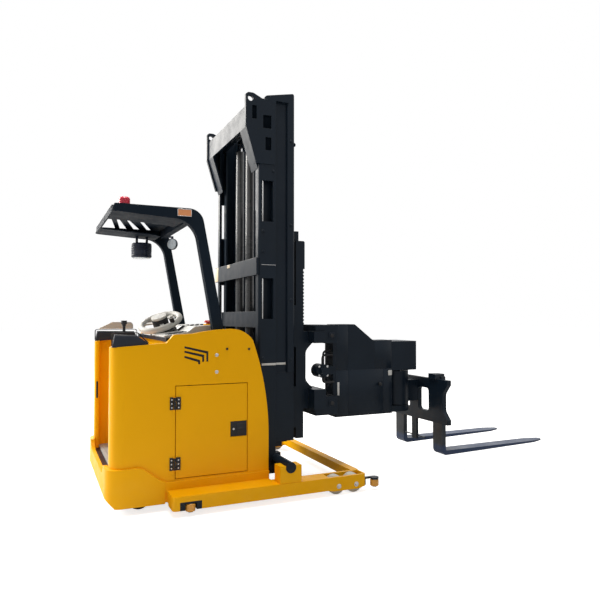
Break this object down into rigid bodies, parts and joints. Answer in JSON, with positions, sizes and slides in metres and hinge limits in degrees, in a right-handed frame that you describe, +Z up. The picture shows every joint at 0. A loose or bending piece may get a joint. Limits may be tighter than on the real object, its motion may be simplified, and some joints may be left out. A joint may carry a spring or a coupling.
{
  "type": "stand-on three-way swing reach truck",
  "caption": "Stand-on narrow-aisle truck with straddle legs, a telescopic mast and a traversing head whose forks swing to either side.",
  "frame": {"origin": "centre of the footprint's box at floor level", "axes": "+X forwards along the forks, +Y to the truck's left, +Z up"},
  "size_m": [3.945, 1.776, 3.1689],
  "materials": {
    "yellow_paint": "gloss",
    "black_paint": "satin",
    "grey_mat": "matte",
    "battery_case": "matte",
    "pale_panel": "satin",
    "black_trim": "matte",
    "red_lens": "gloss",
    "orange_lens": "gloss",
    "rod_steel": "polished",
    "fork_paint": "satin",
    "tread": "matte",
    "pale_tread": "satin",
    "amber_tread": "satin",
    "wheel_rim": "satin"
  },
  "bodies": {
    "chassis": {"leg_left": "yellow_paint", "leg_right": "yellow_paint", "front_crossbeam": "yellow_paint", "guide_brackets": "black_paint", "arm_fairing": "pale_panel", "chassis_base": "yellow_paint", "step_frame": "black_paint", "step_mat": "grey_mat", "rear_skirt": "yellow_paint", "side_panel_left": "yellow_paint", "side_panel_right": "yellow_paint", "bulkheads": "yellow_paint", "deck": "black_paint", "battery": "battery_case", "instrument_panel": "pale_panel", "arm_pads": "black_trim", "hand_lever": "black_trim", "guard_posts": "black_paint", "guard_roof": "black_paint", "beacon": "red_lens", "guard_reflectors": "orange_lens", "guard_lamps": "black_trim", "mast_outer_uprights": "black_paint", "lifting_ears": "black_paint", "mast_outer_beams": "black_paint", "mast_pedestals": "yellow_paint", "lift_barrels": "black_paint"},
    "mast_mid": {"mast_mid_uprights": "black_paint", "mast_mid_beams": "black_paint", "lift_rods": "rod_steel"},
    "mast_inner": {"mast_inner_uprights": "black_paint", "mast_inner_beams": "black_paint", "free_lift_cylinder": "black_paint"},
    "carriage": {"carriage_frame": "black_paint", "traverse_rails": "black_paint"},
    "slider": {"traverse_slider": "black_paint", "traverse_motor": "black_paint", "swing_arm": "black_paint", "arm_cover": "black_paint"},
    "fork_head": {"swivel_drum": "black_paint", "fork_carriage": "black_paint", "forks": "fork_paint"},
    "drive_unit": {"drive_unit": "black_paint"},
    "drive_wheel": {"drive_wheel": "tread"},
    "steering_wheel": {"steering_wheel": "wheel_rim"},
    "door_left": {"door_left": "yellow_paint"},
    "door_right": {"door_right": "yellow_paint"},
    "caster_yoke_right": {"caster_yoke_right": "black_paint"},
    "caster_wheel_right": {"caster_wheel_right": "tread"},
    "load_wheel_right_1": {"load_wheel_right_1": "pale_tread"},
    "load_wheel_right_2": {"load_wheel_right_2": "pale_tread"},
    "guide_roller_rear_right": {"guide_roller_rear_right": "amber_tread"},
    "guide_roller_front_right": {"guide_roller_front_right": "amber_tread"},
    "caster_yoke_left": {"caster_yoke_left": "black_paint"},
    "caster_wheel_left": {"caster_wheel_left": "tread"},
    "load_wheel_left_1": {"load_wheel_left_1": "pale_tread"},
    "load_wheel_left_2": {"load_wheel_left_2": "pale_tread"},
    "guide_roller_rear_left": {"guide_roller_rear_left": "amber_tread"},
    "guide_roller_front_left": {"guide_roller_front_left": "amber_tread"}
  },
  "joints": [
    {"name": "mast_mid_lift", "type": "slide", "parent": "chassis", "child": "mast_mid", "axis": [0, 0, 1], "range_m": [0, 2.2]},
    {"name": "mast_inner_lift", "type": "slide", "parent": "mast_mid", "child": "mast_inner", "axis": [0, 0, 1], "range_m": [0, 2.2]},
    {"name": "carriage_lift", "type": "slide", "parent": "mast_inner", "child": "carriage", "axis": [0, 0, 1], "range_m": [0, 1.3]},
    {"name": "head_traverse", "type": "slide", "parent": "carriage", "child": "slider", "axis": [0, 1, 0], "range_m": [0, 0.8]},
    {"name": "head_swivel", "type": "hinge", "parent": "slider", "child": "fork_head", "pos_m": [0.5375, -0.4, 0.75], "axis": [0, 0, 1], "range_deg": [-90, 90]},
    {"name": "drive_steer", "type": "hinge", "parent": "chassis", "child": "drive_unit", "pos_m": [-1.3205, 0, 0.34], "axis": [0, 0, 1], "range_deg": [-90, 90]},
    {"name": "drive_spin", "type": "hinge", "parent": "drive_unit", "child": "drive_wheel", "pos_m": [-1.3205, 0, 0.125], "axis": [0, 1, 0], "continuous": true},
    {"name": "steering_spin", "type": "hinge", "parent": "chassis", "child": "steering_wheel", "pos_m": [-1.4925, -0.06, 1.322], "axis": [-0.342, -0.2747, 0.8986], "continuous": true},
    {"name": "door_right_hinge", "type": "hinge", "parent": "chassis", "child": "door_right", "pos_m": [-1.5065, -0.685, 0.54], "axis": [0, 0, -1], "range_deg": [0, 105]},
    {"name": "door_left_hinge", "type": "hinge", "parent": "chassis", "child": "door_left", "pos_m": [-1.5065, 0.685, 0.54], "axis": [0, 0, 1], "range_deg": [0, 105]},
    {"name": "caster_swivel_right", "type": "hinge", "parent": "chassis", "child": "caster_yoke_right", "pos_m": [-1.6975, -0.55, 0.19], "axis": [0, 0, 1], "continuous": true},
    {"name": "caster_spin_right", "type": "hinge", "parent": "caster_yoke_right", "child": "caster_wheel_right", "pos_m": [-1.7325, -0.55, 0.08], "axis": [0, 1, 0], "continuous": true},
    {"name": "load_wheel_right_1_spin", "type": "hinge", "parent": "chassis", "child": "load_wheel_right_1", "pos_m": [-0.2885, -0.801, 0.07], "axis": [0, 1, 0], "continuous": true},
    {"name": "load_wheel_right_2_spin", "type": "hinge", "parent": "chassis", "child": "load_wheel_right_2", "pos_m": [-0.1365, -0.801, 0.07], "axis": [0, 1, 0], "continuous": true},
    {"name": "guide_roller_rear_right_spin", "type": "hinge", "parent": "chassis", "child": "guide_roller_rear_right", "pos_m": [-1.4325, -0.854, 0.059], "axis": [0, 0, 1], "continuous": true},
    {"name": "guide_roller_front_right_spin", "type": "hinge", "parent": "chassis", "child": "guide_roller_front_right", "pos_m": [0.0395, -0.854, 0.059], "axis": [0, 0, 1], "continuous": true},
    {"name": "caster_swivel_left", "type": "hinge", "parent": "chassis", "child": "caster_yoke_left", "pos_m": [-1.6975, 0.55, 0.19], "axis": [0, 0, 1], "continuous": true},
    {"name": "caster_spin_left", "type": "hinge", "parent": "caster_yoke_left", "child": "caster_wheel_left", "pos_m": [-1.7325, 0.55, 0.08], "axis": [0, 1, 0], "continuous": true},
    {"name": "load_wheel_left_1_spin", "type": "hinge", "parent": "chassis", "child": "load_wheel_left_1", "pos_m": [-0.2885, 0.801, 0.07], "axis": [0, 1, 0], "continuous": true},
    {"name": "load_wheel_left_2_spin", "type": "hinge", "parent": "chassis", "child": "load_wheel_left_2", "pos_m": [-0.1365, 0.801, 0.07], "axis": [0, 1, 0], "continuous": true},
    {"name": "guide_roller_rear_left_spin", "type": "hinge", "parent": "chassis", "child": "guide_roller_rear_left", "pos_m": [-1.4325, 0.854, 0.059], "axis": [0, 0, 1], "continuous": true},
    {"name": "guide_roller_front_left_spin", "type": "hinge", "parent": "chassis", "child": "guide_roller_front_left", "pos_m": [0.0395, 0.854, 0.059], "axis": [0, 0, 1], "continuous": true}
  ],
  "couplings": [
    {"joint": "mast_inner_lift", "follows": "mast_mid_lift", "ratio": 1}
  ]
}
